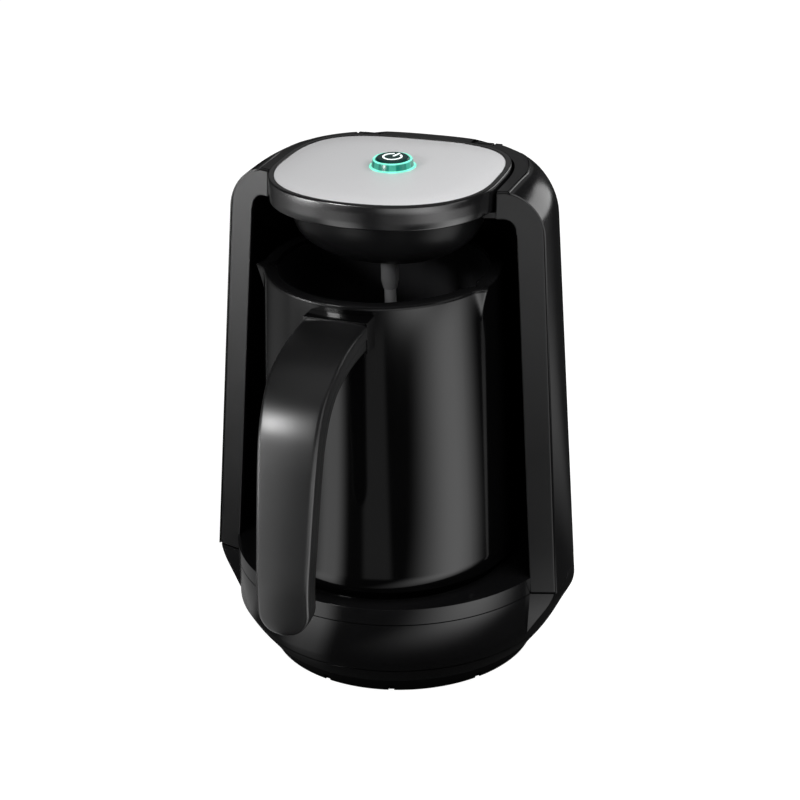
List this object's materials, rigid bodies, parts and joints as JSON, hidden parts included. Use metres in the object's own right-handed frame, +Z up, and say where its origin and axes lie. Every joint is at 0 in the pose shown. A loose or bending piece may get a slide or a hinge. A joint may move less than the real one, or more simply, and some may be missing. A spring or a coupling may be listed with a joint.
{
  "type": "electric turkish coffee maker",
  "caption": "Electric turkish coffee maker: an arched black housing on a round base, a hinged sensor lid with a lit power button, and a lift-off electric jug with a long handle.",
  "frame": {"origin": "on the resting plane, under the centre of the round base", "axes": "+Z up, +X to the right seen from the front, the jug handle points along -Y and the hinge is at +Y"},
  "size_m": [0.1623, 0.2016, 0.2281],
  "materials": {
    "cover_black": "fine moulded gloss",
    "face_black": "fine satin",
    "inner_black": "satin",
    "head_black": "satin gloss",
    "jug_black": "gloss",
    "rim_black": "gloss",
    "handle_black": "satin gloss",
    "pot_coating": "non-stick coating",
    "plate_silver": "satin painted silver",
    "ring_glow": "clear green, lit",
    "button_dark": "gloss",
    "symbol_white": "lit white",
    "foot_rubber": "matt",
    "seal_silicone": "matt",
    "screw_steel": "plain",
    "spring_steel": "bright",
    "probe_steel": "dark coated",
    "probe_black": "satin",
    "heater_metal": "cast",
    "contact_brass": "bright",
    "board_green": "solder mask",
    "part_plastic": "satin",
    "cable_black": "satin"
  },
  "bodies": {
    "housing": {"base_ring": "inner_black", "rubber_feet": "foot_rubber", "base_screws": "screw_steel", "base_cover": "cover_black", "jug_platform": "face_black", "base_connector": "part_plastic", "connector_contacts": "contact_brass", "power_board": "board_green", "board_screws": "screw_steel", "buzzer": "part_plastic", "cord_inlet": "inner_black", "sensor_cable": "cable_black", "left_arm_front": "face_black", "right_arm_front": "face_black", "left_cover": "cover_black", "right_cover": "cover_black", "rear_panel": "cover_black", "rear_screws": "screw_steel", "cavity_liner": "inner_black", "top_deck": "face_black", "lid_bumpers": "foot_rubber", "hinge_brackets": "face_black", "hinge_pins": "screw_steel"},
    "lid": {"lid_shell": "head_black", "lid_dome": "head_black", "dome_screws": "screw_steel", "top_plate": "plate_silver", "plate_trim": "head_black", "light_ring": "ring_glow", "button_guide": "part_plastic", "led_board": "board_green", "tact_switch": "part_plastic", "board_clip_screws": "screw_steel", "probe_sleeve": "probe_black", "probe_rod": "probe_steel", "probe_seal": "seal_silicone", "hinge_knuckles": "head_black"},
    "button": {"button_cap": "button_dark", "power_symbol": "symbol_white", "button_stem": "part_plastic", "button_spring": "spring_steel"},
    "jug": {"jug_body": "jug_black", "jug_pot": "pot_coating", "rim_band": "rim_black", "jug_base": "jug_black", "jug_base_screws": "screw_steel", "jug_gasket": "seal_silicone", "heater_plate": "heater_metal", "heating_element": "heater_metal", "thermostat": "part_plastic", "jug_connector": "part_plastic", "handle_bracket": "jug_black", "handle_outer": "handle_black", "handle_inner": "handle_black", "handle_screws": "screw_steel"}
  },
  "joints": [
    {"name": "lid_hinge", "type": "hinge", "parent": "housing", "child": "lid", "pos_m": [0, 0.0475, 0.219], "axis": [-1, 0, 0], "range_deg": [0, 95]},
    {"name": "button_press", "type": "slide", "parent": "lid", "child": "button", "axis": [0, 0, -1], "range_m": [0, 0.0012], "stiffness_N_per_m": 400, "springref_m": -0.0006, "deforming": ["button_spring"]},
    {"name": "jug_lift", "type": "slide", "parent": "housing", "child": "jug", "axis": [0, 0, 1], "range_m": [0, 0.012]}
  ]
}
